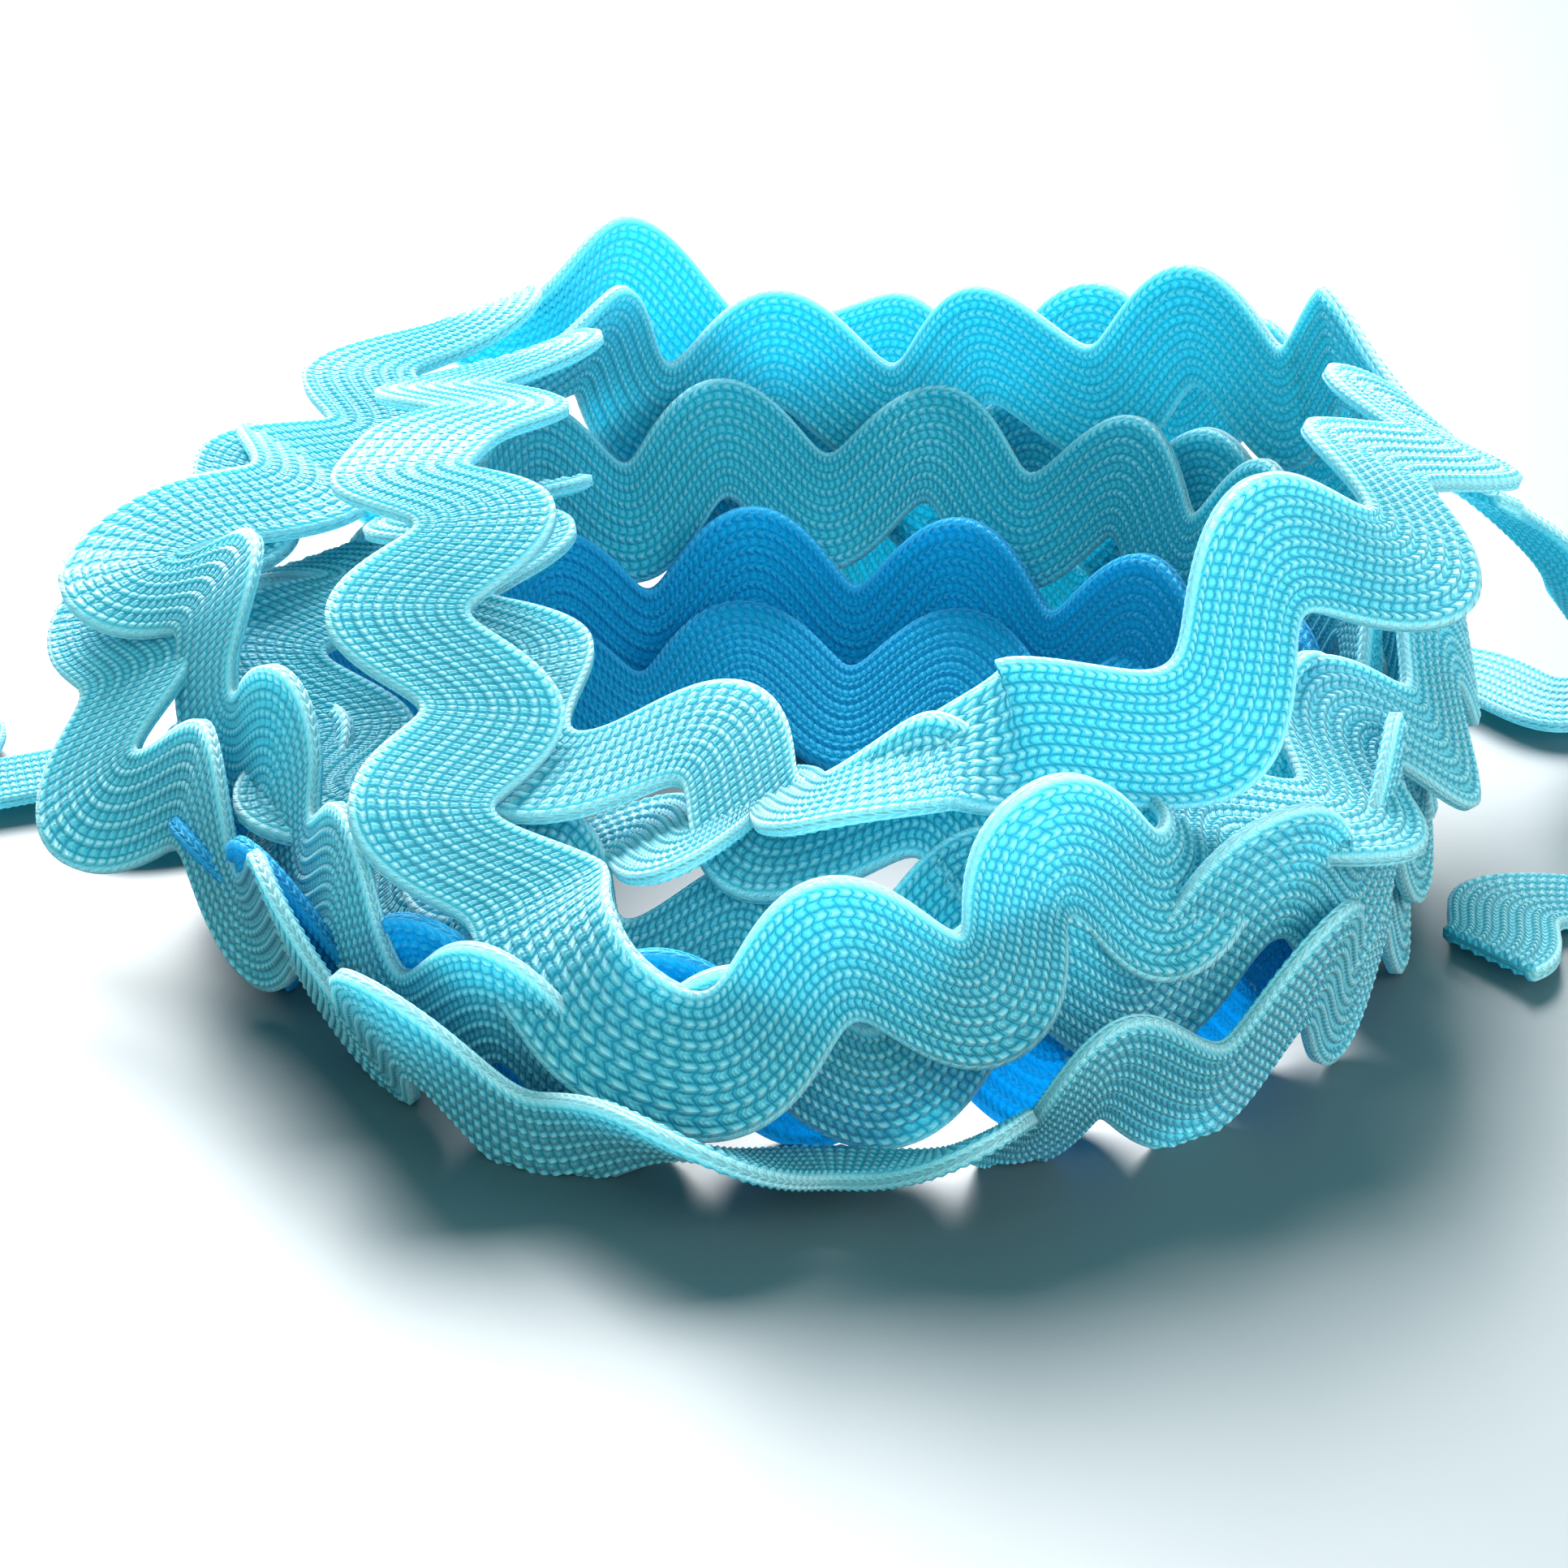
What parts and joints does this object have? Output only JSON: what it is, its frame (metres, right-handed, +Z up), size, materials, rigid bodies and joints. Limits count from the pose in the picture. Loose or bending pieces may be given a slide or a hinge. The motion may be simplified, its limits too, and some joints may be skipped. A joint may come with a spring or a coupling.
{
  "type": "roll of ric rac trim",
  "caption": "Loose hand-wound roll of wavy ric rac braid lying on its side as an open ring, with a slack loop and a short free end beside it.",
  "frame": {"origin": "on the resting plane, under the middle of the part's outer box", "axes": "+Z up through the open ring; -Y is the low front of the roll, where the strands cross; +X is the side where the slack loop lies"},
  "size_m": [0.1264, 0.0844, 0.0304],
  "materials": {
    "braid": "soft satin polyester braid"
  },
  "bodies": {
    "root": {"roll": "braid", "loop_right": "braid", "end_right": "braid", "end_left": "braid"}
  },
  "joints": []
}
